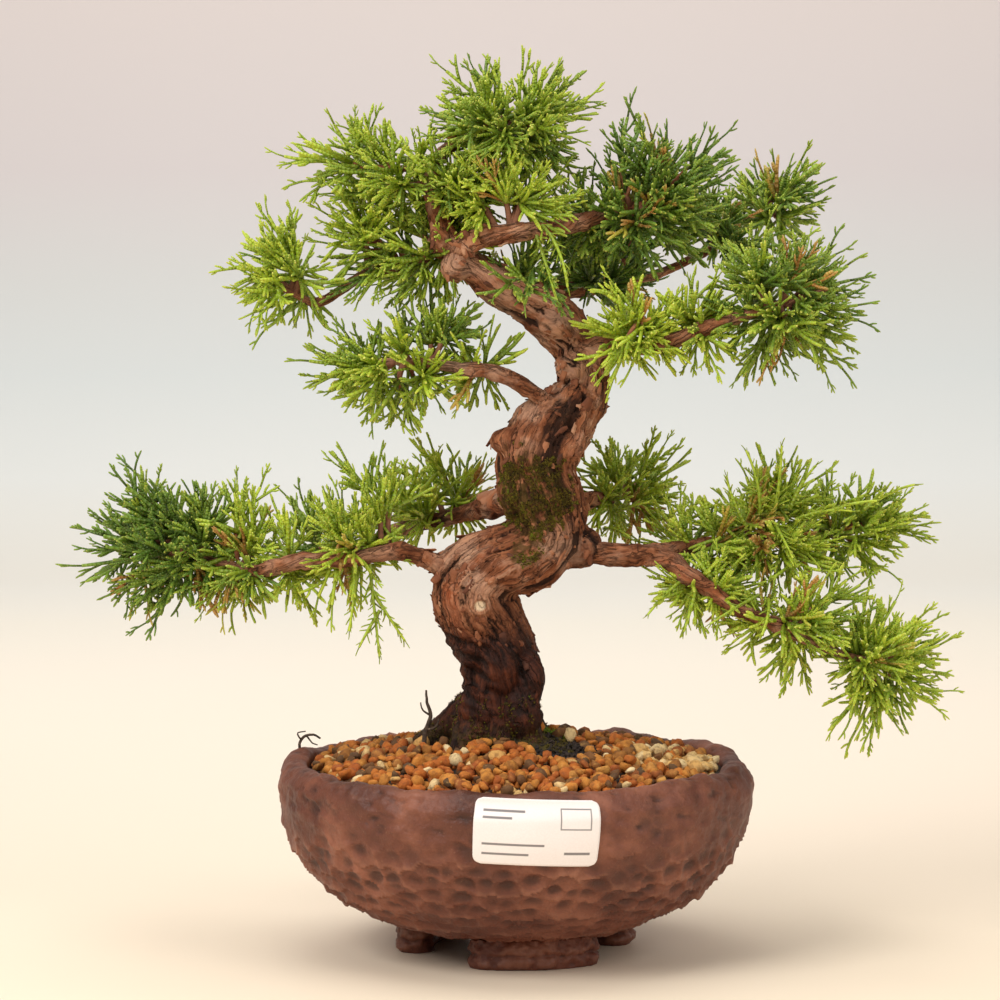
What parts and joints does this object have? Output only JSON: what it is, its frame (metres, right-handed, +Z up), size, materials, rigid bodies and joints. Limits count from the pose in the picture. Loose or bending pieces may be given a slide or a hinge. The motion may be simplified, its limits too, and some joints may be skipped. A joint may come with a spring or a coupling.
{
  "type": "potted juniper bonsai tree",
  "caption": "Juniper bonsai with an S-shaped trunk, long low branches and cord-like leaf sprays, planted in gravel in a round hand-pressed clay bowl on short feet.",
  "frame": {"origin": "on the bowl's axis, on the plane that its feet stand on", "axes": "+Z up, -Y towards the front of the tree, where the label is, +X towards the end of its long low right branch"},
  "size_m": [0.3583, 0.1917, 0.3611],
  "materials": {
    "clay": "unglazed fired clay, dark purple brown, hand-pressed, satin sheen",
    "label_paper": "coated paper, pale",
    "net_plastic": "matte moulded net",
    "bare_wire": "bare drawn wire",
    "soil": "dark moist composted bark and grit",
    "akadama": "dry orange clay grains",
    "moss": "short olive moss",
    "bark": "stringy red brown juniper bark",
    "dead_wood": "dry grey brown fibre",
    "foliage": "waxy scale leaves, lighter at the tips"
  },
  "bodies": {
    "root": {"bowl": "clay", "foot_front": "clay", "foot_right": "clay", "foot_left": "clay", "drain_screen": "net_plastic", "screen_clip": "bare_wire", "label": "label_paper", "potting_soil": "soil", "gravel_topping": "akadama", "moss_collar": "moss", "dead_twig": "dead_wood", "dry_strand": "dead_wood", "trunk": "bark", "trunk_moss": "moss", "stem_low_left_front": "bark", "stem_low_left_back": "bark", "stem_mid_left": "bark", "stem_low_right": "bark", "stem_low_right_fork": "bark", "stem_low_rear": "bark", "stem_upper_right": "bark", "stem_crown_right": "bark", "stem_crown_rear": "bark", "stem_upper_left": "bark", "leaves_low_left_tip": "foliage", "leaves_low_left_mid": "foliage", "leaves_low_left_inner": "foliage", "leaves_low_left_rear": "foliage", "leaves_low_back_left": "foliage", "leaves_low_back_right": "foliage", "leaves_mid_left": "foliage", "leaves_upper_left_tip": "foliage", "leaves_upper_left": "foliage", "leaves_crown_top": "foliage", "leaves_crown_front": "foliage", "leaves_crown_right": "foliage", "leaves_crown_rear": "foliage", "leaves_crown_far_right": "foliage", "leaves_upper_right_tip": "foliage", "leaves_upper_right_inner": "foliage", "leaves_low_right_back": "foliage", "leaves_low_right_front": "foliage"}
  },
  "joints": []
}
